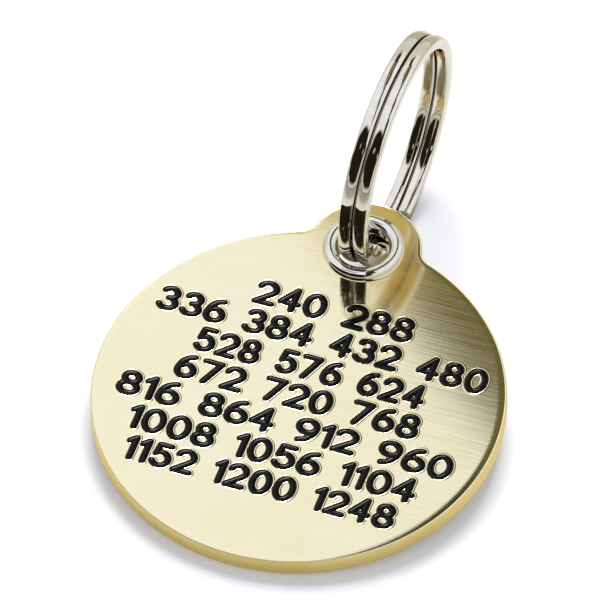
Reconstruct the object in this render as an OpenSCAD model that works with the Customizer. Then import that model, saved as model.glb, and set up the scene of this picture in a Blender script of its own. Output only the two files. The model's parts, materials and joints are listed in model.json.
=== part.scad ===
// Round brass pet tag: a plate with an ear, a rolled eyelet in the ear and a
// split ring through the eyelet. The tag lies at rest on a table at z = 0,
// on the lower rim of its plate and on the underside of the ring.
// Every piece is drawn in the plate's own frame, with its back face at z = 0
// and +Y from the middle of the disc to the ear, and is then laid down.

/* [Plate] */
// Diameter of the round plate
disc_d = 33; // [28:0.5:38]
// Thickness of the brass sheet
plate_t = 1.7; // [1.4:0.1:2]
// Rounding of the tumbled edges
edge_r = 0.35; // [0.2:0.05:0.6]
// Radius of the ear
ear_r = 4.7; // [4.2:0.1:5.4]
// How far inside the rim the middle of the hole lies
hole_inset = 1.1; // [0.4:0.1:2]
// Radius of the hollow corner between ear and disc
neck_r = 1.6; // [0.8:0.1:4]

/* [Eyelet] */
// Diameter of the hole through the eyelet
bore_d = 4.2; // [4:0.1:4.6]
// Thickness of the eyelet's sheet
eyelet_wall = 0.25; // [0.2:0.05:0.3]
// Diameter of the domed flange on the engraved side
flange_d = 6.6; // [6:0.1:7.4]
// Outer radius of the roll that closes the eyelet on the back
back_roll_r = 0.35; // [0.3:0.05:0.45]
// Gap all round between the eyelet and what it passes through
eyelet_gap = 0.03; // [0.01:0.01:0.06]

/* [Washer] */
// How far the washer under the roll reaches out from its hole
washer_rim = 0.82; // [0.6:0.02:1.1]
// Thickness of the washer
washer_t = 0.25; // [0.2:0.05:0.4]

/* [Split ring] */
// Outside diameter of the split ring
ring_d = 19.36; // [17:0.02:24]
// Thickness of the wire, from the inside of the ring to the outside
wire_h = 1.12; // [0.9:0.02:1.2]
// Width of the wire along the axis of the ring
wire_w = 0.9; // [0.7:0.02:0.9]
// Gap between the two turns
turn_gap = 0.42; // [0.42:0.01:0.5]
// Length of ring in which the wire steps from one turn to the other
step_l = 4; // [3.4:0.1:6]
// Angle from the eyelet round the underside of the ring to the step's middle
step_place = 42; // [36:1:90]
// Gap between each cut end and the step
end_gap = 0.45; // [0.45:0.05:1]
// Length of the bevel on each cut end
end_bevel = 0.15; // [0.1:0.05:0.3]

/* [Pose] */
// Angle from the plate's plane up to the middle of the ring
ring_swing = 35; // [20:0.5:35]
// Turn of the ring about the axis of the eyelet
ring_yaw = -2.5; // [-4:0.5:4]
// Lean of the ring to the side
ring_lean = 1.5; // [-3:0.5:3]
// Place of the wire in the bore, to the right of its middle
wire_x = -0.15; // [-0.2:0.05:0.2]
// Place of the wire in the bore, from its middle towards the ear's tip
wire_y = -0.35; // [-0.45:0.05:-0.2]

/* [Hidden] */
$fn = 96;
cut = 0.5;
brass = [0.85, 0.73, 0.42];
nickel = [0.78, 0.78, 0.76];

disc_r = disc_d / 2;
hole_y = disc_r - hole_inset;
bore_r = bore_d / 2;
barrel_r = bore_r + eyelet_wall;
plate_hole_r = barrel_r + eyelet_gap;
washer_r = plate_hole_r + washer_rim;
washer_edge = washer_t / 3;
front_roll_r = (flange_d / 2 - bore_r) / 2;

// Middle of the hollow corner: it touches the disc and the ear from outside
neck_from_disc = disc_r + neck_r;
neck_from_ear = ear_r + neck_r;
neck_y = (neck_from_disc ^ 2 - neck_from_ear ^ 2 + hole_y ^ 2) / (2 * hole_y);
neck_x = sqrt(neck_from_disc ^ 2 - neck_y ^ 2);

// The wire's section is a superellipse: flat faces with rounded shoulders
section_sides = 16;
shoulder_share = 0.56;
rings_per_turn = 60;
bevel_share = 0.72;

ring_out_r = ring_d / 2;
ring_mid_r = ring_out_r - wire_h / 2;
turn_pitch = wire_w + turn_gap;
deg_per_mm = 180 / (PI * ring_mid_r);
step_angle = step_l * deg_per_mm;
end_angle = end_gap * deg_per_mm;
bevel_angle = end_bevel * deg_per_mm;
wound_angle = 720 - step_angle - 2 * end_angle;

// Where the ring lies, in the plate's frame
pivot = [wire_x, hole_y + wire_y, plate_t / 2];
ring_way = [
    sin(ring_swing) * sin(ring_lean) * cos(ring_yaw) - cos(ring_swing) * sin(ring_yaw),
    sin(ring_swing) * sin(ring_lean) * sin(ring_yaw) + cos(ring_swing) * cos(ring_yaw),
    sin(ring_swing) * cos(ring_lean)
];
ring_mid = pivot + ring_mid_r * ring_way;

// The table touches the rim's rounding below and the ring's outside
rim_to_ring_y = ring_mid[1] + disc_r - edge_r;
rim_to_ring_z = ring_mid[2] - edge_r;
rim_to_ring = norm([rim_to_ring_y, rim_to_ring_z]);
rest_tilt = atan2(rim_to_ring_y, rim_to_ring_z) - acos((ring_out_r - edge_r) / rim_to_ring);
lift = ring_out_r - ring_mid[1] * sin(rest_tilt) - ring_mid[2] * cos(rest_tilt);
far_y = ring_mid[1] * cos(rest_tilt) - ring_mid[2] * sin(rest_tilt) + ring_out_r;
near_y = -(disc_r - edge_r) * cos(rest_tilt) - (plate_t - edge_r) * sin(rest_tilt) - edge_r;
mid_y = (far_y + near_y) / 2;

// Lays a piece that is drawn in the plate's frame down on the table
module laid_down() {
    translate([0, -mid_y, lift])
        rotate([rest_tilt, 0, 0])
            children();
}

// Half section of a round slab whose two edges are rounded
module slab_section(r) {
    square([r - edge_r, plate_t]);
    translate([r - edge_r, edge_r])
        square([edge_r, plate_t - 2 * edge_r]);
    translate([r - edge_r, edge_r])
        circle(edge_r);
    translate([r - edge_r, plate_t - edge_r])
        circle(edge_r);
}

// Half section of what the hollow corner leaves open, flared at both faces
module neck_section() {
    difference() {
        translate([0, -cut])
            square([neck_r + edge_r, plate_t + 2 * cut]);
        translate([neck_r, edge_r])
            square([edge_r + cut, plate_t - 2 * edge_r]);
        translate([neck_r + edge_r, edge_r])
            circle(edge_r);
        translate([neck_r + edge_r, plate_t - edge_r])
            circle(edge_r);
    }
}

// Web that fills the corner between disc and ear on the right side
module neck_web() {
    difference() {
        linear_extrude(plate_t)
            polygon([[0, 0], [neck_x, neck_y], [0, hole_y]]);
        translate([neck_x, neck_y, 0])
            rotate_extrude()
                neck_section();
    }
}

module tag_plate() {
    laid_down()
        color(brass)
            difference() {
                union() {
                    rotate_extrude()
                        slab_section(disc_r);
                    translate([0, hole_y, 0])
                        rotate_extrude()
                            slab_section(ear_r);
                    neck_web();
                    mirror([1, 0, 0])
                        neck_web();
                }
                translate([0, hole_y, -cut])
                    cylinder(r = plate_hole_r, h = plate_t + 2 * cut);
            }
}

// Half section of sheet rolled outward from the bore, above the line y = 0
module roll_section(r) {
    translate([bore_r + r, 0])
        intersection() {
            difference() {
                circle(r);
                circle(r - eyelet_wall);
            }
            translate([-r, 0])
                square([2 * r, r]);
        }
}

// Pressed in one piece: domed flange, barrel, and the roll that closes it
module eyelet() {
    laid_down()
        color(nickel)
            translate([0, hole_y, 0])
                rotate_extrude() {
                    translate([bore_r, -washer_t])
                        square([eyelet_wall, plate_t + washer_t]);
                    translate([0, plate_t])
                        roll_section(front_roll_r);
                    translate([0, -washer_t])
                        mirror([0, 1])
                            roll_section(back_roll_r);
                }
}

// Flat ring between the plate's back and the roll, eased at its outer edge
module eyelet_washer() {
    laid_down()
        color(nickel)
            translate([0, hole_y, -washer_t])
                difference() {
                    rotate_extrude() {
                        square([washer_r - washer_edge, washer_t]);
                        translate([washer_r - washer_edge, washer_edge])
                            square([washer_edge, washer_t - washer_edge]);
                        translate([washer_r - washer_edge, washer_edge])
                            circle(washer_edge);
                    }
                    translate([0, 0, -cut])
                        cylinder(r = plate_hole_r, h = washer_t + 2 * cut);
                }
}

// A power that keeps the sign, for the superellipse
function signed_power(v, p) = sign(v) * abs(v) ^ p;

// Eases from 0 to 1 while v goes from 0 to 1
function eased(v) = let (u = max(0, min(1, v))) u * u * (3 - 2 * u);

// The wire's side shift after it has wound through an angle
function side_shift(wound) =
    turn_pitch * (eased((wound - (wound_angle - step_angle) / 2) / step_angle) - 1 / 2);

// Places of the rings of points along the wire, bevels included
steps = 2 * rings_per_turn;
wound_stops = concat(
    [0],
    [for (i = [0 : steps]) bevel_angle + (wound_angle - 2 * bevel_angle) * i / steps],
    [wound_angle]
);
last_stop = len(wound_stops) - 1;

// Angle round the ring from the eyelet, positive on the engraved side
function place_angle(wound) = -step_place + wound - wound_angle / 2;

// One ring of points, in the ring's frame: eyelet at 0, axis along X
function wire_ring(i) =
    let (
        wound = wound_stops[i],
        a = place_angle(wound),
        size_share = i == 0 || i == last_stop ? bevel_share : 1
    )
    [for (k = [0 : section_sides - 1])
        let (
            t = 360 * k / section_sides,
            out = ring_mid_r + size_share * wire_h / 2 * signed_power(cos(t), shoulder_share),
            side = size_share * wire_w / 2 * signed_power(sin(t), shoulder_share)
        )
        [side_shift(wound) + side, ring_mid_r - out * cos(a), out * sin(a)]
    ];

wire_rings = [for (i = [0 : last_stop]) wire_ring(i)];
wire_points = [for (ring = wire_rings, p = ring) p];

// Two triangles for each side between neighbouring rings, and two fans
wire_faces = concat(
    [for (i = [0 : last_stop - 1], k = [0 : section_sides - 1])
        let (a = i * section_sides, b = a + section_sides, n = (k + 1) % section_sides)
        each [[a + k, b + k, b + n], [a + k, b + n, a + n]]
    ],
    [for (k = [1 : section_sides - 2]) [0, k, k + 1]],
    [for (k = [1 : section_sides - 2])
        let (a = last_stop * section_sides)
        [a, a + k + 1, a + k]
    ]
);

// Least gap of the wire to itself, between points of the two turns
near_rings = 4;
turn_gaps = [for (i = [0 : rings_per_turn - 1])
    let (twin = i + round(360 / wound_angle * steps))
    for (j = [max(rings_per_turn + 1, twin - near_rings) : min(last_stop, twin + near_rings)])
        for (p = wire_rings[i], q = wire_rings[j])
            norm(p - q)
];
echo(least_gap_of_wire_to_itself = min(turn_gaps));

// One wire wound twice, which steps across halfway between its two ends
module split_ring() {
    laid_down()
        color(nickel)
            translate(pivot)
                rotate([ring_swing, ring_lean, ring_yaw])
                    polyhedron(points = wire_points, faces = wire_faces, convexity = 6);
}

tag_plate();
eyelet();
eyelet_washer();
split_ring();
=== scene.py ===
import json
import math

import bpy
import numpy as np
from mathutils import Matrix, Vector
from mathutils.geometry import delaunay_2d_cdt


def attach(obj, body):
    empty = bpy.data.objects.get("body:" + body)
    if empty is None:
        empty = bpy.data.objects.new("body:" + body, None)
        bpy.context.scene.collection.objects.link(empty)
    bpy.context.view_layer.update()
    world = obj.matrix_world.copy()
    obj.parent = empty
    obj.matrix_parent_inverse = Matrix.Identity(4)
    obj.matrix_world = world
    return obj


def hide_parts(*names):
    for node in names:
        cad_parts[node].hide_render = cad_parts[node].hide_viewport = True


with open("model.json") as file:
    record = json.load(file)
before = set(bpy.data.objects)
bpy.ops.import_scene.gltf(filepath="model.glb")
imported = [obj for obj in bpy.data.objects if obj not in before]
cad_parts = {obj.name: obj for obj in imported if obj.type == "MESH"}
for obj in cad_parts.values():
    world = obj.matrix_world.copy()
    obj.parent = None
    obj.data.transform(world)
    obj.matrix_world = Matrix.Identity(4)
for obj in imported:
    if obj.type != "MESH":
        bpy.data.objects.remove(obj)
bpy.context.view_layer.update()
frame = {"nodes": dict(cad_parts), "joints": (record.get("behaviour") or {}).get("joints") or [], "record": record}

mm = 0.001  # the pieces are drawn in millimetres and come into the scene in metres

# the brass plate, in its own frame: back face at z = 0, +Y from the disc to the ear
plate = {
    "discR": 16.5,
    "thick": 1.7,
    "edgeR": 0.35,  # tumbled rounding of the back edge
    "frontR": 0.2,  # and of the front edge, beyond its sunk border
    "earR": 4.7,
    "holeInset": 1.1,  # from the rim in to the middle of the hole
    "neckR": 1.6,  # hollow corner between ear and disc
    "holeR": 2.38,
    "edgeSteps": 8,
    "outlineStep": 0.3,
    "holeSides": 96,
    "flatInset": 0.08,  # the flat faces start this far inside the rounding
    "pillow": 0.34,  # polishing has let the front's border sink gently over this width
    "pillowRight": 0.2,  # and this much wider on the disc's right
    "rightFacing": (0.5, 0.9),  # how far the edge faces right where that starts and is full
    "rightBelow": (9.5, 6.5),  # and how high above the disc's middle it starts and is full
    "pillowDeg": 5.0,
    "pillowSteps": 5,
    "shareBend": 0.7,  # power of the share of the way round the edge that colours the brass
}
holeY = plate["discR"] - plate["holeInset"]

# where the wire of the ring passes the hole, from the middle of the hole
wirePass = {"x": -0.15, "y": -0.35}


def placePlate(joint):
    # the rim's rounding rests on the table and the joint's height is known, so the lean follows
    reach = holeY + wirePass["y"] + plate["discR"] - plate["edgeR"]
    rise = plate["thick"] / 2 - plate["edgeR"]
    height = joint["pos_m"][2] / mm - plate["edgeR"]
    lean = math.asin(height / math.hypot(reach, rise)) - math.atan2(rise, reach)
    passPoint = Vector((wirePass["x"], holeY + wirePass["y"], plate["thick"] / 2)) * mm
    turned = Matrix.Rotation(lean, 4, "X")
    return Matrix.Translation(joint["pos_m"]) @ turned @ Matrix.Translation(-passPoint)


def placeRing(joint, mount):
    # X along the ring's axis, Y from the hole to the middle of the ring
    across = Vector(joint["axis"]).normalized()
    outward = Vector(mount["pos_m"]) - Vector(joint["pos_m"])
    outward = (outward - across * outward.dot(across)).normalized()
    axes = Matrix((across, outward, across.cross(outward))).transposed().to_4x4()
    return Matrix.Translation(joint["pos_m"]) @ axes


swing = frame["joints"][0]
plateToWorld = placePlate(swing)
ringToWorld = placeRing(swing, frame["record"]["mounts"][0])
print("placed on the frame")


# shader helpers

def newMaterial(name):
    material = bpy.data.materials.new(name)
    material.use_nodes = True
    nodes = material.node_tree.nodes
    shader = nodes["Principled BSDF"]
    return material, material.node_tree, shader


def addNode(tree, kind, **values):
    node = tree.nodes.new(kind)
    for key, value in values.items():
        setattr(node, key, value)
    return node


def stretchedNoise(tree, perMetre, detail=2.0, roughness=0.5):
    # noise in the object's own metres; perMetre gives its fineness along X, Y and Z
    where = addNode(tree, "ShaderNodeTexCoord")
    mapping = addNode(tree, "ShaderNodeMapping")
    mapping.inputs["Scale"].default_value = perMetre
    noise = addNode(tree, "ShaderNodeTexNoise")
    noise.inputs["Scale"].default_value = 1.0
    noise.inputs["Detail"].default_value = detail
    noise.inputs["Roughness"].default_value = roughness
    tree.links.new(where.outputs["Object"], mapping.inputs["Vector"])
    tree.links.new(mapping.outputs["Vector"], noise.inputs["Vector"])
    return noise.outputs["Fac"]


def ranged(tree, value, low, high, fromLow=0.3, fromHigh=0.7):
    node = addNode(tree, "ShaderNodeMapRange")
    node.inputs["From Min"].default_value = fromLow
    node.inputs["From Max"].default_value = fromHigh
    node.inputs["To Min"].default_value = low
    node.inputs["To Max"].default_value = high
    tree.links.new(value, node.inputs["Value"])
    return node.outputs["Result"]


def smooth(tree, value, start, end):
    # 0 before start, 1 past end
    node = addNode(tree, "ShaderNodeMapRange", interpolation_type="SMOOTHSTEP")
    low, high, first, last = (start, end, 0.0, 1.0) if start < end else (end, start, 1.0, 0.0)
    node.inputs["From Min"].default_value = low
    node.inputs["From Max"].default_value = high
    node.inputs["To Min"].default_value = first
    node.inputs["To Max"].default_value = last
    tree.links.new(value, node.inputs["Value"])
    return node.outputs["Result"]


def computed(tree, operation, first, second=None):
    node = addNode(tree, "ShaderNodeMath", operation=operation)
    tree.links.new(first, node.inputs[0])
    if second is not None:
        tree.links.new(second, node.inputs[1])
    return node.outputs["Value"]


def mixed(tree, share, first, second):
    node = addNode(tree, "ShaderNodeMix", data_type="RGBA")
    tree.links.new(share, node.inputs["Factor"])
    for socket, value in (("A", first), ("B", second)):
        target = next(i for i in node.inputs if i.name == socket and i.type == "RGBA")
        if isinstance(value, tuple):
            target.default_value = (*value, 1.0)
        else:
            tree.links.new(value, target)
    return next(o for o in node.outputs if o.type == "RGBA")


def bumped(tree, shader, height, distance, strength=1.0, under=None):
    node = addNode(tree, "ShaderNodeBump")
    node.inputs["Strength"].default_value = strength
    node.inputs["Distance"].default_value = distance
    tree.links.new(height, node.inputs["Height"])
    if under:
        tree.links.new(under, node.inputs["Normal"])
    tree.links.new(node.outputs["Normal"], shader.inputs["Normal"])
    return node.outputs["Normal"]


brass = {
    "face": (0.92, 0.85, 0.585),
    "faceWarm": (0.9, 0.82, 0.52),
    "edge": (0.93, 0.77, 0.35),
    "edgeDeep": (0.87, 0.7, 0.28),
    "edgeColour": (0.5, 0.95),  # shares of the way round the edge between which it deepens
    "roughLow": 0.07,
    "roughHigh": 0.12,
    "roughEdge": 0.55,
    "edgeSatin": (0.3, 0.6),  # and turns satin
    "brushPerMetre": (140.0, 7000.0, 7000.0),  # long fine lines along X
    "brushDepth": 0.0000011,
    "wavePerMetre": (60.0, 1100.0, 1100.0),  # broader lines under them
    "waveDepth": 0.0000018,
    "cloudPerMetre": (90.0, 160.0, 160.0),
}


def brassMaterial():
    material, tree, shader = newMaterial("polishedBrass")
    shader.inputs["Metallic"].default_value = 1.0
    brush = stretchedNoise(tree, brass["brushPerMetre"], detail=3.0, roughness=0.6)
    wave = stretchedNoise(tree, brass["wavePerMetre"], detail=2.0)
    cloud = stretchedNoise(tree, brass["cloudPerMetre"], detail=3.0)
    face = mixed(tree, ranged(tree, cloud, 0.0, 1.0), brass["face"], brass["faceWarm"])
    edge = mixed(tree, ranged(tree, cloud, 0.0, 1.0), brass["edge"], brass["edgeDeep"])
    edgeShare = addNode(tree, "ShaderNodeAttribute", attribute_name="edgeShare").outputs["Fac"]
    colour = mixed(tree, smooth(tree, edgeShare, *brass["edgeColour"]), face, edge)
    tree.links.new(colour, shader.inputs["Base Color"])
    rough = ranged(tree, brush, brass["roughLow"], brass["roughHigh"])
    satin = addNode(tree, "ShaderNodeMix", data_type="FLOAT")
    tree.links.new(smooth(tree, edgeShare, *brass["edgeSatin"]), satin.inputs["Factor"])
    tree.links.new(rough, satin.inputs["A"])
    satin.inputs["B"].default_value = brass["roughEdge"]
    tree.links.new(satin.outputs["Result"], shader.inputs["Roughness"])
    waved = bumped(tree, shader, wave, brass["waveDepth"])
    bumped(tree, shader, brush, brass["brushDepth"], under=waved)
    return material


enamel = {
    "colour": (0.0015, 0.0018, 0.0014),
    "colourGrey": (0.004, 0.0045, 0.0038),
    "roughLow": 0.06,
    "roughHigh": 0.14,
    "gloss": 0.145,
    "grainPerMetre": (2200.0, 2200.0, 2200.0),
    "grainDepth": 0.000006,
    "topEdge": -0.085,  # heights from the face, in mm
    # how far in from the stroke's side, and how high
    "domes": ((-0.05, -0.058), (-0.11, -0.036), (-0.18, -0.022), (-0.24, -0.018)),
    "clear": 0.005,  # between the enamel and the stroke's walls
    "lift": 0.005,  # above the groove's floor
}


def enamelMaterial():
    material, tree, shader = newMaterial("blackEnamel")
    shader.inputs["Specular IOR Level"].default_value = enamel["gloss"]
    grain = stretchedNoise(tree, enamel["grainPerMetre"])
    colour = mixed(tree, ranged(tree, grain, 0.0, 1.0), enamel["colour"], enamel["colourGrey"])
    tree.links.new(colour, shader.inputs["Base Color"])
    rough = ranged(tree, grain, enamel["roughLow"], enamel["roughHigh"])
    tree.links.new(rough, shader.inputs["Roughness"])
    bumped(tree, shader, grain, enamel["grainDepth"])
    return material


nickel = {
    "ring": (0.82, 0.79, 0.7),
    "ringDull": (0.74, 0.7, 0.59),
    "blotchPerMetre": (900.0, 900.0, 900.0),
    "drawnPerMm": (0.15, 4.5, 4.5),  # lines along the wire, from how it was drawn
    "drawnDepth": 0.00002,
    "seamShade": (0.035, 0.03, 0.024),  # painted shade on the sides where the two turns face each other across the narrow seam
    "seamFrom": (0.44, 0.52),  # in mm from the middle of the wire
    "eyelet": (0.82, 0.8, 0.73),
    "eyeletDull": (0.74, 0.72, 0.65),
    "turnedLines": 9000.0,
    "turnedDepth": 0.0000025,
}


def ringMaterial():
    material, tree, shader = newMaterial("ringNickel")
    shader.inputs["Metallic"].default_value = 1.0
    blotch = stretchedNoise(tree, nickel["blotchPerMetre"], detail=3.0)
    wirePlace = addNode(tree, "ShaderNodeAttribute", attribute_name="wirePlace")
    parts = addNode(tree, "ShaderNodeSeparateXYZ")
    tree.links.new(wirePlace.outputs["Vector"], parts.inputs[0])
    colour = mixed(tree, ranged(tree, blotch, 0.0, 1.0), nickel["ring"], nickel["ringDull"])
    # painted shade: the wire darkens towards the other turn, in the narrow seam between the two turns
    seam = smooth(tree, parts.outputs["Z"], *nickel["seamFrom"])
    colour = mixed(tree, seam, colour, nickel["seamShade"])
    tree.links.new(colour, shader.inputs["Base Color"])
    shader.inputs["Roughness"].default_value = 0.0  # mirror bright
    mapping = addNode(tree, "ShaderNodeMapping")
    mapping.inputs["Scale"].default_value = nickel["drawnPerMm"]
    drawn = addNode(tree, "ShaderNodeTexNoise")
    drawn.inputs["Scale"].default_value = 1.0
    drawn.inputs["Detail"].default_value = 2.0
    tree.links.new(wirePlace.outputs["Vector"], mapping.inputs["Vector"])
    tree.links.new(mapping.outputs["Vector"], drawn.inputs["Vector"])
    bumped(tree, shader, drawn.outputs["Fac"], nickel["drawnDepth"])
    return material


def eyeletMaterial():
    material, tree, shader = newMaterial("eyeletNickel")
    shader.inputs["Metallic"].default_value = 1.0
    middle = plateToWorld @ (Vector((0, holeY, 0)) * mm)
    where = addNode(tree, "ShaderNodeTexCoord")
    fromMiddle = addNode(tree, "ShaderNodeVectorMath", operation="SUBTRACT")
    fromMiddle.inputs[1].default_value = middle
    tree.links.new(where.outputs["Object"], fromMiddle.inputs[0])
    length = addNode(tree, "ShaderNodeVectorMath", operation="LENGTH")
    tree.links.new(fromMiddle.outputs["Vector"], length.inputs[0])
    # noise along the distance from the hole's middle: fine turned lines
    lines = addNode(tree, "ShaderNodeTexNoise", noise_dimensions="1D")
    lines.inputs["Scale"].default_value = nickel["turnedLines"]
    lines.inputs["Detail"].default_value = 2.0
    tree.links.new(length.outputs["Value"], lines.inputs["W"])
    blotch = stretchedNoise(tree, nickel["blotchPerMetre"], detail=2.0)
    colour = mixed(tree, ranged(tree, blotch, 0.0, 1.0), nickel["eyelet"], nickel["eyeletDull"])
    tree.links.new(colour, shader.inputs["Base Color"])
    shader.inputs["Roughness"].default_value = 0.0
    bumped(tree, shader, lines.outputs["Fac"], nickel["turnedDepth"])
    return material


# mesh helpers

def makePiece(name, points, faces, toWorld, material, creaseDeg=38.0):
    mesh = bpy.data.meshes.new(name)
    placed = [toWorld @ (Vector(p) * mm) for p in points]
    mesh.from_pydata(placed, [], faces)
    mesh.validate()
    mesh.shade_smooth()
    mesh.set_sharp_from_angle(angle=math.radians(creaseDeg))
    mesh.materials.append(material)
    piece = bpy.data.objects.new(name, mesh)
    bpy.context.scene.collection.objects.link(piece)
    return piece


def arcPoints(middle, radius, startDeg, endDeg, step):
    # points along an arc, its last point left to the next stretch
    sweep = math.radians(endDeg - startDeg)
    count = max(2, math.ceil(abs(sweep) * radius / step))
    angles = math.radians(startDeg) + sweep * np.arange(count) / count
    spokes = np.column_stack([np.cos(angles), np.sin(angles)])
    return np.array(middle) + radius * spokes, spokes


def plateOutline():
    # counter-clockwise points of the plate's edge, with their outward directions
    fromDisc = plate["discR"] + plate["neckR"]
    fromEar = plate["earR"] + plate["neckR"]
    neckY = (fromDisc ** 2 - fromEar ** 2 + holeY ** 2) / (2 * holeY)
    neckX = math.sqrt(fromDisc ** 2 - neckY ** 2)
    discEnd = math.degrees(math.atan2(neckY, neckX))
    earStart = math.degrees(math.atan2(neckY - holeY, neckX))
    step = plate["outlineStep"]
    stretches = (
        ((0, 0), plate["discR"], -180 - discEnd, discEnd, 1),
        ((neckX, neckY), plate["neckR"], discEnd + 180, earStart + 180, -1),
        ((0, holeY), plate["earR"], earStart, 180 - earStart, 1),
        ((-neckX, neckY), plate["neckR"], -earStart, -discEnd, -1),
    )
    points, outward = [], []
    for middle, radius, start, end, side in stretches:
        stretch, spokes = arcPoints(middle, radius, start, end, step)
        points.append(stretch)
        outward.append(spokes * side)
    return np.vstack(points), np.vstack(outward)


def signedArea(loop):
    x, y = loop[:, 0], loop[:, 1]
    return 0.5 * float(np.sum(x * np.roll(y, -1) - np.roll(x, -1) * y))


mergeWithin = 1e-7  # points closer than this become one


def triangulated(loops):
    # triangles over nested closed loops; each comes with the numbers of the loops that hold it
    flat, polygons, start = [], [], 0
    for loop in loops:
        ids = list(range(start, start + len(loop)))
        polygons.append(ids if signedArea(loop) > 0 else ids[::-1])
        flat.extend(Vector(p) for p in loop)
        start += len(loop)
    found = delaunay_2d_cdt(flat, [], polygons, 0, mergeWithin, True)
    points, _, triangles, cameFrom, _, heldBy = found
    return points, triangles, cameFrom, heldBy


# the engraved numbers: plain multiples, counted on from row to row

# width, then strokes, in shares of the digit's height: a line's two ends, or an arc's middle,
# its two radii, and its first and last angle
digits = {
    "0": (0.60, [("arc", 0.30, 0.50, 0.30, 0.50, 0, 360)]),
    "1": (0.20, [("line", 0.0, 0.80, 0.20, 1.0), ("line", 0.20, 1.0, 0.20, 0.0)]),
    "2": (0.58, [("arc", 0.29, 0.71, 0.29, 0.29, 165, -40), ("line", 0.512, 0.524, 0.0, 0.0),
                 ("line", 0.0, 0.0, 0.58, 0.0)]),
    "3": (0.58, [("arc", 0.28, 0.76, 0.25, 0.24, 155, -90),
                 ("arc", 0.28, 0.26, 0.30, 0.26, 90, -155)]),
    "4": (0.60, [("line", 0.44, 0.0, 0.44, 1.0), ("line", 0.44, 1.0, 0.0, 0.30),
                 ("line", 0.0, 0.30, 0.60, 0.30)]),
    "5": (0.58, [("line", 0.52, 1.0, 0.12, 1.0), ("line", 0.12, 1.0, 0.068, 0.546),
                 ("arc", 0.28, 0.32, 0.30, 0.32, 135, -150)]),
    "6": (0.58, [("arc", 0.29, 0.29, 0.29, 0.29, 0, 360),
                 ("arc", 0.50, 0.29, 0.50, 0.71, 96, 180)]),
    "7": (0.58, [("line", 0.0, 1.0, 0.58, 1.0), ("line", 0.58, 1.0, 0.16, 0.0)]),
    "8": (0.58, [("arc", 0.29, 0.765, 0.235, 0.235, 0, 360),
                 ("arc", 0.29, 0.265, 0.29, 0.265, 0, 360)]),
    "9": (0.58, [("arc", 0.29, 0.71, 0.29, 0.29, 0, 360),
                 ("arc", 0.08, 0.71, 0.50, 0.71, -84, 0)]),
}

engraving = {
    "firstNumber": 240,
    "countBy": 48,
    "numbersInRow": (2, 4, 3, 3, 4, 3, 3),
    "halfWidthShares": (0.405, 0.84, 0.585, 0.62, 0.85, 0.73, 0.686),  # of the disc's radius
    "firstRowShare": 0.448,  # foot of the first row, above the disc's middle
    "rowPitchShare": 0.18,
    "digitHeight": 2.55,
    "stroke": 0.56,
    "digitGap": 0.1,
    "numberGap": 1.3,
    "depth": 0.25,
    "gridStep": 0.03,
    "margin": 0.5,
    "pointStep": 0.08,
    "arcStep": 0.06,
    # how far outside the stroke, and how high: cut edge, burr, and back to the face; the last
    # strip is flat, so that the burr's shading ends before the wide triangles of the face
    "levels": ((0.0, 0.0), (0.045, 0.011), (0.09, 0.004), (0.13, 0.0), (0.165, 0.0)),
}


def strokeSegments(shape, left, foot, height, stretch):
    # short straight pieces along the middle of each stroke of one digit
    runs = []
    for kind, *values in shape:
        if kind == "line":
            ends = np.array(values).reshape(2, 2)
        else:
            midX, midY, radiusX, radiusY, start, end = values
            length = math.radians(abs(end - start)) * max(radiusX, radiusY) * height
            count = max(8, math.ceil(length / engraving["arcStep"]))
            turns = np.radians(np.linspace(start, end, count))
            ends = np.column_stack([midX + radiusX * np.cos(turns), midY + radiusY * np.sin(turns)])
        ends = ends * (height * stretch, height) + (left, foot)
        runs.append(np.hstack([ends[:-1], ends[1:]]))
    return np.vstack(runs)


def layRow(row, numbers):
    # every digit's segments in one row, its digits stretched to fill the row
    shares = engraving["halfWidthShares"]
    stroke = engraving["stroke"]
    height = engraving["digitHeight"] - stroke
    target = 2 * shares[row] * plate["discR"]
    words = [str(n) for n in numbers]
    text = "".join(words)
    fixed = len(text) * stroke + (len(text) - len(words)) * engraving["digitGap"]
    free = sum(digits[c][0] for c in text) * height + (len(words) - 1) * engraving["numberGap"]
    stretch = (target - fixed) / free
    footShare = engraving["firstRowShare"] - engraving["rowPitchShare"] * row
    foot = plate["discR"] * footShare + stroke / 2
    left = -target / 2 + stroke / 2
    placed = []
    for word in words:
        for c in word:
            width, shape = digits[c]
            placed.append(strokeSegments(shape, left, foot, height, stretch))
            left += width * height * stretch + stroke + engraving["digitGap"]
        left += engraving["numberGap"] * stretch - engraving["digitGap"]
    return placed


def strokeField(placed):
    # distance from every grid point to the nearest stroke's side, negative inside the stroke
    step, margin = engraving["gridStep"], engraving["margin"]
    every = np.vstack(placed)
    low = np.minimum(every[:, :2], every[:, 2:]).min(0) - margin
    high = np.maximum(every[:, :2], every[:, 2:]).max(0) + margin
    xs = np.arange(low[0], high[0], step)
    ys = np.arange(low[1], high[1], step)
    field = np.full((len(ys), len(xs)), margin)
    for segments in placed:
        near = np.minimum(segments[:, 0], segments[:, 2]).min() - margin
        far = np.maximum(segments[:, 0], segments[:, 2]).max() + margin
        first, last = np.searchsorted(xs, (near, far))
        gridX, gridY = np.meshgrid(xs[first:last], ys)
        best = np.full(gridX.shape, margin + 1)
        for x0, y0, x1, y1 in segments:
            dx, dy = x1 - x0, y1 - y0
            along = np.clip(((gridX - x0) * dx + (gridY - y0) * dy) / (dx * dx + dy * dy), 0, 1)
            best = np.minimum(best, np.hypot(gridX - x0 - along * dx, gridY - y0 - along * dy))
        part = field[:, first:last]
        np.minimum(part, best - engraving["stroke"] / 2, out=part)
    return field, low


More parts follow.
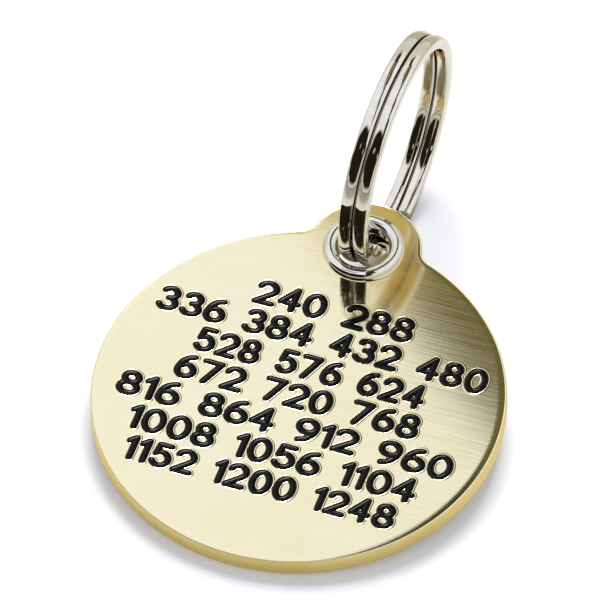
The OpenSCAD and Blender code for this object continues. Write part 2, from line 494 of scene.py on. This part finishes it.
def fieldLoops(field, low, level):
    # closed loops along one level of the field, followed from cell to cell
    step = engraving["gridStep"]
    inside = field < level
    count = inside[:-1, :-1].astype(int) + inside[1:, :-1] + inside[:-1, 1:] + inside[1:, 1:]
    following = {}
    for r, c in np.argwhere((count > 0) & (count < 4)).tolist():
        corners = ((r, c), (r, c + 1), (r + 1, c + 1), (r + 1, c))
        sides = ((r, c, 0), (r, c + 1, 1), (r + 1, c, 0), (r, c, 1))
        isIn = [inside[k] for k in corners]
        joined = sum(field[k] for k in corners) / 4 < level
        for k in range(4):
            if isIn[k] and not isIn[(k + 1) % 4]:
                back = k
                while isIn[back]:
                    back = (back - 1) % 4
                goal = back
                if joined and isIn[(k + 2) % 4] and not isIn[(k + 3) % 4]:
                    goal = (k + 1) % 4
                following[sides[k]] = sides[goal]
    loops = []
    while following:
        start, side = following.popitem()
        chain = [start]
        while side != start:
            chain.append(side)
            side = following.pop(side)
        spots = []
        for r, c, upright in chain:
            r2, c2 = (r + 1, c) if upright else (r, c + 1)
            share = (level - field[r, c]) / (field[r2, c2] - field[r, c])
            spots.append((c + share * (c2 - c), r + share * (r2 - r)))
        loops.append(evenly(np.array(spots) * step + low, engraving["pointStep"]))
    return loops


def evenly(loop, spacing):
    closed = np.vstack([loop, loop[:1]])
    lengths = np.concatenate([[0], np.cumsum(np.hypot(*np.diff(closed, axis=0).T))])
    count = max(8, round(lengths[-1] / spacing))
    stops = np.arange(count) * lengths[-1] / count
    return np.column_stack([np.interp(stops, lengths, closed[:, k]) for k in (0, 1)])


def engravedRows():
    number = engraving["firstNumber"]
    rows = []
    for row, count in enumerate(engraving["numbersInRow"]):
        numbers = [number + engraving["countBy"] * k for k in range(count)]
        number = numbers[-1] + engraving["countBy"]
        rows.append(strokeField(layRow(row, numbers)))
    return rows


rows = engravedRows()
print("laid out", len(rows), "rows of numbers")


class MeshSoup:
    # points and faces gathered from several parts, with equal points joined
    def __init__(self):
        self.points = []
        self.faces = []
        self.known = {}

    def point(self, x, y, z):
        # no finer than the triangulation returns them, so that its points join the others
        x, y = float(np.float32(x)), float(np.float32(y))
        key = (x, y, round(z, 5))
        if key not in self.known:
            self.known[key] = len(self.points)
            self.points.append((x, y, z))
        return self.known[key]

    def face(self, *corners):
        if len(set(corners)) == len(corners):
            self.faces.append(corners)

    def wall(self, loopTop, loopFoot):
        # quads between two loops of point numbers, the first one above for an outer wall
        count = len(loopTop)
        for k in range(count):
            n = (k + 1) % count
            self.face(loopTop[k], loopFoot[k], loopFoot[n], loopTop[n])


def levelMesh(soup, loopsByLevel, heights, keep, top):
    # triangles of one row between its levels; keep chooses them by the levels that hold them
    loops = [loop for level in loopsByLevel for loop in level]
    levelOf = [k for k, level in enumerate(loopsByLevel) for _ in level]
    heightOf = [heights[k] for k, level in enumerate(loopsByLevel) for loop in level for _ in loop]
    points, triangles, cameFrom, heldBy = triangulated(loops)
    places = []
    for p, origins in zip(points, cameFrom):
        z = top + (heightOf[origins[0]] if origins else heights[0])
        places.append((p[0], p[1], z))
    for triangle, holders in zip(triangles, heldBy):
        held = [0] * len(loopsByLevel)
        for k in holders:
            held[levelOf[k]] ^= 1
        if keep(held):
            soup.face(*(soup.point(*places[k]) for k in triangle))
    return points, triangles, heldBy, levelOf


def buildPlate():
    soup = MeshSoup()
    outline, outward = plateOutline()
    top, edge, frontR = plate["thick"], plate["edgeR"], plate["frontR"]

    # stations from the flat front face round the edge to the flat back face: how far inside the
    # outline, how high, and how far round the edge (0 on the faces, 1 on the side)
    (facingFrom, facingFull), (belowFrom, belowFull) = plate["rightFacing"], plate["rightBelow"]
    onRight = np.clip((outward[:, 0] - facingFrom) / (facingFull - facingFrom), 0, 1)
    onRight = onRight * np.clip((belowFrom - outline[:, 1]) / (belowFrom - belowFull), 0, 1)
    pillow = plate["pillow"] + plate["pillowRight"] * onRight
    slope = math.tan(math.radians(plate["pillowDeg"]))
    stations = [(frontR + pillow + plate["flatInset"], top, 0.0)]
    for s in np.arange(plate["pillowSteps"]) / plate["pillowSteps"]:
        stations.append((frontR + pillow * (1 - s), top - slope * pillow * s * s / 2, 0.0))
    arcFrom = math.atan(slope)
    sunk = slope * pillow / 2 - frontR * (1 - math.cos(arcFrom))
    for q in np.linspace(arcFrom, math.pi / 2, plate["edgeSteps"] + 1):
        share = (math.sin(q) - math.sin(arcFrom)) / (1 - math.sin(arcFrom))
        stations.append((frontR * (1 - share), top - sunk - frontR * (1 - math.cos(q)), share))
    for q in np.linspace(math.pi / 2, 0, plate["edgeSteps"] + 1):
        stations.append((edge * (1 - math.sin(q)), edge * (1 - math.cos(q)), math.sin(q)))
    stations.append((edge + plate["flatInset"], 0.0, 0.0))
    loops = []
    for inset, z, _ in stations:
        insets = np.broadcast_to(inset, len(outline))[:, None]
        heights = np.broadcast_to(z, len(outline))
        spots = outline - outward * insets
        loops.append([soup.point(x, y, h) for (x, y), h in zip(spots, heights)])
    for upper, lower in zip(loops, loops[1:]):
        soup.wall(upper, lower)

    turns = np.linspace(0, 2 * math.pi, plate["holeSides"], endpoint=False)
    hole = np.column_stack([np.cos(turns), np.sin(turns)]) * plate["holeR"] + (0, holeY)
    holeTop = [soup.point(x, y, top) for x, y in hole]
    holeFoot = [soup.point(x, y, 0.0) for x, y in hole]
    soup.wall(holeFoot, holeTop)

    # each row: burr round the strokes, walls down, floor
    heights = [z for _, z in engraving["levels"]]
    guards = []
    for field, low in rows:
        byLevel = [fieldLoops(field, low, d) for d, _ in engraving["levels"]]
        guards += byLevel[-1]
        found = levelMesh(soup, byLevel, heights, lambda held: held[-1] and not held[0], top)
        points, triangles, heldBy, levelOf = found
        floorZ = top - engraving["depth"]
        for triangle, holders in zip(triangles, heldBy):
            if sum(levelOf[k] == 0 for k in holders) % 2:
                soup.face(*(soup.point(points[k][0], points[k][1], floorZ) for k in triangle))
        for loop in byLevel[0]:
            rim = [soup.point(x, y, top + heights[0]) for x, y in loop]
            foot = [soup.point(x, y, floorZ) for x, y in loop]
            soup.wall(foot, rim)

    # the flat front round the rows, and the flat back
    for loop, z, holes in ((loops[0], top, [hole] + guards), (loops[-1], 0.0, [hole])):
        border = np.array([soup.points[k][:2] for k in loop])
        points, triangles, _, heldBy = triangulated([border] + holes)
        for triangle, holders in zip(triangles, heldBy):
            if 0 in holders and len(holders) % 2:
                corners = [soup.point(points[k][0], points[k][1], z) for k in triangle]
                soup.face(*(corners if z else corners[::-1]))

    piece = makePiece("tagPlate", soup.points, soup.faces, plateToWorld, brassMaterial())
    edgeShare = np.zeros(len(soup.points), np.float32)
    for (_, _, share), loop in zip(stations, loops):
        edgeShare[loop] = share ** plate["shareBend"]
    piece.data.attributes.new("edgeShare", "FLOAT", "POINT").data.foreach_set("value", edgeShare)
    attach(piece, "tag")
    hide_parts("tag_plate")
    print("plate:", len(soup.points), "points,", len(soup.faces), "faces")


def buildEnamel():
    soup = MeshSoup()
    top = plate["thick"]
    floorZ = top - engraving["depth"] + enamel["lift"]
    inward = [(-enamel["clear"], enamel["topEdge"])] + list(enamel["domes"])
    heights = [z for _, z in inward]
    for field, low in rows:
        byLevel = [fieldLoops(field, low, d) for d, _ in inward]
        levelMesh(soup, byLevel, heights, lambda held: held[0], top)
        points, triangles, _, heldBy = triangulated(byLevel[0])
        for triangle, holders in zip(triangles, heldBy):
            if len(holders) % 2:
                corners = [soup.point(points[k][0], points[k][1], floorZ) for k in triangle]
                soup.face(*corners[::-1])
        for loop in byLevel[0]:
            rim = [soup.point(x, y, top + heights[0]) for x, y in loop]
            foot = [soup.point(x, y, floorZ) for x, y in loop]
            soup.wall(rim, foot)
    piece = makePiece("enamelFill", soup.points, soup.faces, plateToWorld, enamelMaterial())
    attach(piece, "tag")
    print("enamel:", len(soup.points), "points,", len(soup.faces), "faces")


buildPlate()
buildEnamel()


# the eyelet, turned about the hole's axis

eyelet = {
    "boreR": 2.1,
    "wall": 0.25,
    "frontRollR": 0.6,
    "backRollR": 0.35,
    "washer": 0.25,
    "sides": 144,
    "rollSteps": 40,
    "innerSteps": 8,
    # shallow turned grooves: where, depth, width
    "beads": ((2.98, 0.018, 0.05), (2.4, 0.014, 0.05)),
}


def eyeletProfile():
    # closed outline in (radius, height): roll, bore, back roll, and back up behind
    bore, wall = eyelet["boreR"], eyelet["wall"]
    front, back = eyelet["frontRollR"], eyelet["backRollR"]
    top, low = plate["thick"], -eyelet["washer"]

    def half(middle, height, radius, startDeg, endDeg, steps):
        turns = np.radians(np.linspace(startDeg, endDeg, steps))
        return [(middle + radius * math.cos(t), height + radius * math.sin(t)) for t in turns]

    profile = []
    for r, z in half(bore + front, top, front, 0, 180, eyelet["rollSteps"]):
        for where, depth, width in eyelet["beads"]:
            z -= depth * math.exp(-((r - where) / width) ** 2)
        profile.append((r, max(z, top)))
    profile += half(bore + back, low, back, 180, 360, eyelet["rollSteps"] // 2)
    profile += half(bore + back, low, back - wall, 360, 180, eyelet["innerSteps"])
    profile += half(bore + front, top, front - wall, 180, 0, eyelet["rollSteps"] // 2)
    return profile


def buildEyelet():
    profile = eyeletProfile()
    sides, count = eyelet["sides"], len(profile)
    points = []
    for k in range(sides):
        turn = 2 * math.pi * k / sides
        points += [(r * math.cos(turn), holeY + r * math.sin(turn), z) for r, z in profile]
    faces = []
    for k in range(sides):
        here, there = k * count, (k + 1) % sides * count
        for i in range(count):
            n = (i + 1) % count
            faces.append((here + i, there + i, there + n, here + n))
    piece = makePiece("eyeletTurned", points, faces, plateToWorld, eyeletMaterial())
    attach(piece, "tag")
    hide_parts("eyelet")
    print("eyelet:", len(points), "points")


buildEyelet()
frame["nodes"]["eyelet_washer"].data.materials.clear()
frame["nodes"]["eyelet_washer"].data.materials.append(eyeletMaterial())


# the split ring: one wire wound twice

ring = {
    "outerR": 9.68,
    "wireH": 1.12,
    "wireW": 1.09,
    "domeR": 1.05,  # the outer and inner faces of the wire are shallow domes
    "cornerR": 0.17,
    "seam": 0.09,
    "spread": 0.08,  # each turn stands this much further out at the eyelet
    "spreadDeg": 38.0,
    "stepLength": 4.0,  # of the stretch that crosses from one turn to the other
    "stepPlaceDeg": 42.0,  # round from the eyelet
    "endGap": 0.45,  # from the step to each cut end
    "bevel": 0.15,
    "bevelShare": 0.72,
    "ringsPerTurn": 200,
    "domeSteps": 6,
    "cornerSteps": 7,
    "flankShare": 0.8,  # how high the straight side of the section starts
}


def wireSection():
    # how far out and how far to the side each point round the wire lies
    high, wide = ring["wireH"] / 2, ring["wireW"] / 2
    dome, edge = ring["domeR"], ring["cornerR"]
    turn = math.asin((wide - edge) / (dome - edge))
    over = np.linspace(0, turn, ring["domeSteps"])
    down = np.linspace(turn, math.pi / 2, ring["cornerSteps"])[1:]
    out = [high - dome + dome * math.cos(t) for t in over]
    side = [dome * math.sin(t) for t in over]
    foot = high - dome + (dome - edge) * math.cos(turn)
    out += [foot + edge * math.cos(t) for t in down] + [ring["flankShare"] * foot]
    side += [wide - edge + edge * math.sin(t) for t in down] + [wide]
    out, side = np.array(out), np.array(side)
    halfOut, halfSide = np.concatenate([out, -out[::-1]]), np.concatenate([side, side[::-1]])
    return np.concatenate([halfOut, -halfOut[1:-1]]), np.concatenate([halfSide, -halfSide[1:-1]])


def buildRing():
    outShape, sideShape = wireSection()
    midR = ring["outerR"] - ring["wireH"] / 2
    perMm = 180 / (math.pi * midR)
    stepDeg = ring["stepLength"] * perMm
    bevelDeg = ring["bevel"] * perMm
    woundDeg = 720 - stepDeg - 2 * ring["endGap"] * perMm
    pitch = ring["wireW"] + ring["seam"]
    inner = np.linspace(bevelDeg, woundDeg - bevelDeg, 2 * ring["ringsPerTurn"] + 1)
    stops = np.concatenate([[0], inner, [woundDeg]])
    points, wirePlaces = [], []
    for k, wound in enumerate(stops):
        share = np.clip((wound - (woundDeg - stepDeg) / 2) / stepDeg, 0, 1)
        across = share * share * (3 - 2 * share) - 0.5
        placeDeg = -ring["stepPlaceDeg"] + wound - woundDeg / 2
        fromEyelet = (placeDeg + 180) % 360 - 180
        spread = 2 * ring["spread"] * math.exp(-(fromEyelet / ring["spreadDeg"]) ** 2)
        shift = (pitch + spread) * across
        beside = np.clip((abs(wound - woundDeg / 2) - stepDeg / 2) / perMm - ring["endGap"], 0, 1)
        size = ring["bevelShare"] if k in (0, len(stops) - 1) else 1.0
        place = math.radians(placeDeg)
        out = midR + size * outShape
        side = shift + size * sideShape
        points += zip(side, midR - out * math.cos(place), out * math.sin(place))
        wirePlaces += [
            (wound / perMm, o - midR, -2 * across * beside * (s - shift)) for o, s in zip(out, side)
        ]
    sides, last = len(outShape), len(stops) - 1
    faces = []
    for i in range(last):
        for k in range(sides):
            a, b, n = i * sides, (i + 1) * sides, (k + 1) % sides
            faces.append((a + n, b + n, b + k, a + k))
    faces.append(tuple(reversed(range(sides))))
    faces.append(tuple(last * sides + k for k in range(sides)))
    piece = makePiece("splitRingWire", points, faces, ringToWorld, ringMaterial())
    # millimetres along the wire, outwards from its middle, and from there to the other turn
    flat = np.array(wirePlaces, np.float32).ravel()
    piece.data.attributes.new("wirePlace", "FLOAT_VECTOR", "POINT").data.foreach_set("vector", flat)
    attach(piece, "ring")
    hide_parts("split_ring")
    print("ring:", len(points), "points")


buildRing()


# camera, floor, light; an azimuth counts from the -Y side round to +X

def direction(azimuthDeg, elevationDeg):
    azimuth, elevation = math.radians(azimuthDeg), math.radians(elevationDeg)
    flat = math.cos(elevation)
    return Vector((math.sin(azimuth) * flat, -math.cos(azimuth) * flat, math.sin(elevation)))


camera = {
    "azimuthDeg": 21.15,  # seen from the plate's own frame
    "elevationDeg": 52.59,
    "rollDeg": -1.97,
    "pixelsPerMm": 12.64,
    "imageSide": 600,
    "lens": 720.0,
    "sensor": 36.0,
    "aimRight": 0.1,  # from the middle of the face to the middle of the picture, in mm
    "aimUp": 7.435,
    "clip": (0.01, 10.0),
}


def makeCamera():
    azimuth, roll = math.radians(camera["azimuthDeg"]), math.radians(camera["rollDeg"])
    back = direction(camera["azimuthDeg"], camera["elevationDeg"])
    level = Vector((math.cos(azimuth), math.sin(azimuth), 0))
    upright = back.cross(level)
    right = level * math.cos(roll) + upright * math.sin(roll)
    up = back.cross(right)
    aim = Vector((0, 0, plate["thick"])) + right * camera["aimRight"] + up * camera["aimUp"]
    away = camera["imageSide"] * camera["lens"] / camera["sensor"] / camera["pixelsPerMm"]
    data = bpy.data.cameras.new("photoCamera")
    data.lens = camera["lens"]
    data.sensor_width = camera["sensor"]
    data.clip_start, data.clip_end = camera["clip"]
    made = bpy.data.objects.new("photoCamera", data)
    bpy.context.scene.collection.objects.link(made)
    axes = Matrix((right, up, back)).transposed().to_4x4()
    made.matrix_world = plateToWorld @ Matrix.Translation((aim + back * away) * mm) @ axes
    bpy.context.scene.camera = made
    return made


def addStage(name, points, material):
    mesh = bpy.data.meshes.new(name)
    mesh.from_pydata(points, [], [tuple(range(len(points)))])
    mesh.materials.append(material)
    made = bpy.data.objects.new(name, mesh)
    bpy.context.scene.collection.objects.link(made)
    return made


# the values of Light Path's Glossy Depth between which a first reflection turns into a second
secondReflection = (1.2, 1.8)

floor = {
    "half": 2.5,
    "colour": (0.94, 0.942, 0.95),
    "grainPerMetre": (300.0, 300.0, 300.0),
    "grainShade": 0.99,
    "rough": 0.9,
    "gloss": 0.1,
    "lift": 0.13,  # added to the lit paper, so that it reaches white
    "liftFar": 1.0,  # so that it has no horizon
    "liftFrom": (60.0, 200.0),
    # what the metal mirrors of the table: pale close by, dimmer far off
    "near": (0.8, 0.78, 0.72),
    "far": (0.43, 0.39, 0.31),
    "farFrom": (30.0, 80.0),
    # a brown patch of painted shade where the tag and the ring shade the table, and a gold patch of
    # painted reflection that the ring mirrors into the ear: where, its outer and inner radius, its colour
    "brown": ((-4.0, 12.5, 0.0), (9.0, 5.0), (0.24, 0.19, 0.1)),
    "gold": ((-2.0, 54.0, 0.0), (44.0, 36.0), (0.5, 0.36, 0.13)),
}


def makeFloor():
    material, tree, shader = newMaterial("paperFloor")
    shader.inputs["Roughness"].default_value = floor["rough"]
    shader.inputs["Specular IOR Level"].default_value = floor["gloss"]
    where = addNode(tree, "ShaderNodeTexCoord").outputs["Object"]

    def within(place, distances):
        node = addNode(tree, "ShaderNodeVectorMath", operation="DISTANCE")
        node.inputs[1].default_value = tuple(v * mm for v in place)
        tree.links.new(where, node.inputs[0])
        return smooth(tree, node.outputs["Value"], *(d * mm for d in distances))

    table = mixed(tree, within((0, 0, 0), floor["farFrom"]), floor["near"], floor["far"])
    path = addNode(tree, "ShaderNodeLightPath")
    # painted shade: a brown patch where the tag and the ring shade the table, seen only in reflections
    place, distances, colour = floor["brown"]
    table = mixed(tree, within(place, distances), table, colour)
    # painted reflection: gold on the table in second reflections, which the ring mirrors into the ear
    place, distances, colour = floor["gold"]
    twice = ranged(tree, path.outputs["Glossy Depth"], 0.0, 1.0, *secondReflection)
    table = mixed(tree, computed(tree, "MULTIPLY", within(place, distances), twice), table, colour)
    grain = stretchedNoise(tree, floor["grainPerMetre"])
    pale = floor["colour"]
    tone = mixed(tree, grain, pale, tuple(floor["grainShade"] * c for c in pale))
    tone = mixed(tree, path.outputs["Is Glossy Ray"], tone, table)
    tree.links.new(tone, shader.inputs["Base Color"])
    tree.links.new(tone, shader.inputs["Emission Color"])
    farOff = within((0, 0, 0), floor["liftFrom"])
    lift = ranged(tree, farOff, floor["lift"], floor["liftFar"], 0.0, 1.0)
    seen = computed(tree, "MULTIPLY", path.outputs["Is Camera Ray"], lift)
    mirrored = ranged(tree, path.outputs["Is Glossy Ray"], 0.0, floor["lift"], 0.0, 1.0)
    tree.links.new(computed(tree, "ADD", seen, mirrored), shader.inputs["Emission Strength"])
    h = floor["half"]
    addStage("paperFloor", [(-h, -h, 0), (h, -h, 0), (h, h, 0), (-h, h, 0)], material)


# what the metal mirrors: a white tent, open on the camera's side and along one gap overhead
room = {
    "ambient": (0.47, 0.49, 0.575),  # the even light, which isn't mirrored
    "white": (1.0, 1.025, 1.15),
    "seenWhite": (1.0, 1.0, 1.0),  # behind the floor, in the camera's own view
    "dark": (0.016, 0.013, 0.008),
    "darkSatin": (0.32, 0.285, 0.2),  # what the brass and the enamel reflect of the open side
    "low": (0.75, 0.74, 0.68),
    "lowDeg": (24.0, 36.0),  # elevations between which the low part turns white
    "frontAt": (-12.0, 2.0),
    "frontDeg": (61.0, 56.0),  # outer and inner radius of the open side
    "frontFootDeg": (1.0, 6.0),
    "gapAlong": ((20.2, 0.0), (35.7, 71.3)),  # two directions that the gap runs through
    "gapShiftDeg": 2.5,  # and how far to the right of them its middle lies
    "gapDeg": (7.5, 6.0),
    "gapDark": (0.05, 0.038, 0.009),
    "gapFootDeg": (24.0, 36.0),
    "glints": ((-19.0, 40.0), (20.0, 34.0)),
    "glintDeg": (3.5, 1.5),
    "glint": (0.8, 0.78, 0.7),
    "paleAt": (48.0, 0.0),  # low on the right the tent hangs in front of the open side
    "paleDeg": (24.0, 30.0),
    "lampAt": (-155.0, 36.0),  # a bright lamp behind, for the gleam on the enamel
    "lampDeg": (11.0, 8.0),
    "lamp": (14.0, 14.0, 14.0),  # in the brass and the enamel, not in the nickel
}


def makeWorld():
    world = bpy.data.worlds.new("studio")
    world.use_nodes = True
    tree = world.node_tree
    tree.nodes.clear()
    where = addNode(tree, "ShaderNodeTexCoord").outputs["Generated"]

    def along(axis):
        node = addNode(tree, "ShaderNodeVectorMath", operation="DOT_PRODUCT")
        node.inputs[1].default_value = axis
        tree.links.new(where, node.inputs[0])
        return node.outputs["Value"]

    def rising(degrees):
        return smooth(tree, along((0, 0, 1)), *(math.sin(math.radians(d)) for d in degrees))

    def around(place, degrees):
        return smooth(tree, along(direction(*place)), *(math.cos(math.radians(d)) for d in degrees))

    seen = mixed(tree, rising(room["lowDeg"]), room["low"], room["white"])
    front = around(room["frontAt"], room["frontDeg"])
    front = computed(tree, "MULTIPLY", front, rising(room["frontFootDeg"]))
    front = computed(tree, "MULTIPLY", front, around(room["paleAt"], room["paleDeg"]))
    side = direction(*room["gapAlong"][0]).cross(direction(*room["gapAlong"][1])).normalized()
    offGap = addNode(tree, "ShaderNodeMath", operation="ADD")
    offGap.inputs[1].default_value = math.sin(math.radians(room["gapShiftDeg"]))
    tree.links.new(along(side), offGap.inputs[0])
    fromGap = computed(tree, "ABSOLUTE", offGap.outputs["Value"])
    gap = smooth(tree, fromGap, *(math.sin(math.radians(d)) for d in room["gapDeg"]))
    gap = computed(tree, "MULTIPLY", gap, rising(room["gapFootDeg"]))
    path = addNode(tree, "ShaderNodeLightPath")
    # first reflections in brass and enamel, which are no perfect mirrors as the nickel is
    notMirror = ranged(tree, path.outputs["Is Singular Ray"], 1.0, 0.0, 0.0, 1.0)
    first = ranged(tree, path.outputs["Glossy Depth"], 1.0, 0.0, *secondReflection)
    satin = computed(tree, "MULTIPLY", notMirror, first)
    dark = mixed(tree, satin, room["dark"], room["darkSatin"])
    seen = mixed(tree, gap, seen, room["gapDark"])
    seen = mixed(tree, front, seen, dark)
    for place in room["glints"]:
        seen = mixed(tree, around(place, room["glintDeg"]), seen, room["glint"])
    lamp = computed(tree, "MULTIPLY", around(room["lampAt"], room["lampDeg"]), satin)
    seen = mixed(tree, lamp, seen, room["lamp"])

    glossy, through = path.outputs["Is Glossy Ray"], path.outputs["Is Transmission Ray"]
    mirrored = computed(tree, "MAXIMUM", glossy, through)
    seen = mixed(tree, mirrored, room["ambient"], seen)
    seen = mixed(tree, path.outputs["Is Camera Ray"], seen, room["seenWhite"])
    background = addNode(tree, "ShaderNodeBackground")
    output = addNode(tree, "ShaderNodeOutputWorld")
    tree.links.new(seen, background.inputs["Color"])
    tree.links.new(background.outputs["Background"], output.inputs["Surface"])
    bpy.context.scene.world = world


key = {
    "place": (-0.1, 0.42, 0.54),
    "size": 0.34,
    "watts": 3.7,
}


def makeKeyLight():
    data = bpy.data.lights.new("keyLight", "AREA")
    data.shape = "SQUARE"
    data.size = key["size"]
    data.energy = key["watts"]
    made = bpy.data.objects.new("keyLight", data)
    made.location = key["place"]
    made.rotation_mode = "QUATERNION"
    made.rotation_quaternion = (-Vector(key["place"])).to_track_quat("-Z", "Y")
    made.visible_glossy = False  # the metal mirrors the tent instead
    bpy.context.scene.collection.objects.link(made)


# the tent's dim corner, which the face mirrors at its upper right; it is laid out in the
# face's own X and Y, and hangs where the camera sees it mirrored
dimCorner = {
    "height": 110.0,
    "box": (-12.0, -18.0, 48.0, 56.0),
    "edgeThrough": (8.5, 8.5),
    "edgeNormalDeg": 52.0,
    "fade": (-2.9, 1.0),
    "gold": (0.55, 0.44, 0.18),
    "olive": (0.135, 0.12, 0.043),
    "goldTo": (2.5, 6.5),
}


def makeCorner(seenFrom):
    material = bpy.data.materials.new("dimCorner")
    material.use_nodes = True
    tree = material.node_tree
    tree.nodes.clear()
    where = addNode(tree, "ShaderNodeTexCoord")
    place = addNode(tree, "ShaderNodeSeparateXYZ")
    tree.links.new(where.outputs["Object"], place.inputs[0])
    turn = math.radians(dimCorner["edgeNormalDeg"])
    normal = Vector((math.cos(turn), math.sin(turn), 0))
    beyond = addNode(tree, "ShaderNodeVectorMath", operation="DOT_PRODUCT")
    beyond.inputs[1].default_value = normal
    tree.links.new(where.outputs["Object"], beyond.inputs[0])
    edge = normal.dot(Vector((*dimCorner["edgeThrough"], 0)))
    dim = smooth(tree, beyond.outputs["Value"], *((edge + f) * mm for f in dimCorner["fade"]))
    colour = mixed(tree, smooth(tree, place.outputs["X"], *(x * mm for x in dimCorner["goldTo"])),
                   dimCorner["gold"], dimCorner["olive"])
    glow = addNode(tree, "ShaderNodeEmission")
    tree.links.new(colour, glow.inputs["Color"])
    clear = addNode(tree, "ShaderNodeBsdfTransparent")
    mix = addNode(tree, "ShaderNodeMixShader")
    tree.links.new(dim, mix.inputs["Fac"])
    tree.links.new(clear.outputs["BSDF"], mix.inputs[1])
    tree.links.new(glow.outputs["Emission"], mix.inputs[2])
    output = addNode(tree, "ShaderNodeOutputMaterial")
    tree.links.new(mix.outputs["Shader"], output.inputs["Surface"])
    x0, y0, x1, y1 = (v * mm for v in dimCorner["box"])
    made = addStage("dimCorner", [(x0, y0, 0), (x1, y0, 0), (x1, y1, 0), (x0, y1, 0)], material)
    eye = plateToWorld.inverted() @ seenFrom.matrix_world.translation
    above = dimCorner["height"] * mm
    top = plate["thick"] * mm
    share = above / (eye.z - top)
    place = Vector((-eye.x * share, -eye.y * share, top + above))
    made.matrix_world = plateToWorld @ Matrix.Translation(place) @ Matrix.Scale(1 + share, 4)
    made.visible_camera = False
    made.visible_diffuse = False
    made.visible_shadow = False


photoCamera = makeCamera()
makeFloor()
makeWorld()
makeKeyLight()
makeCorner(photoCamera)
bpy.context.scene.view_settings.view_transform = "Standard"
print("camera, floor and light set")
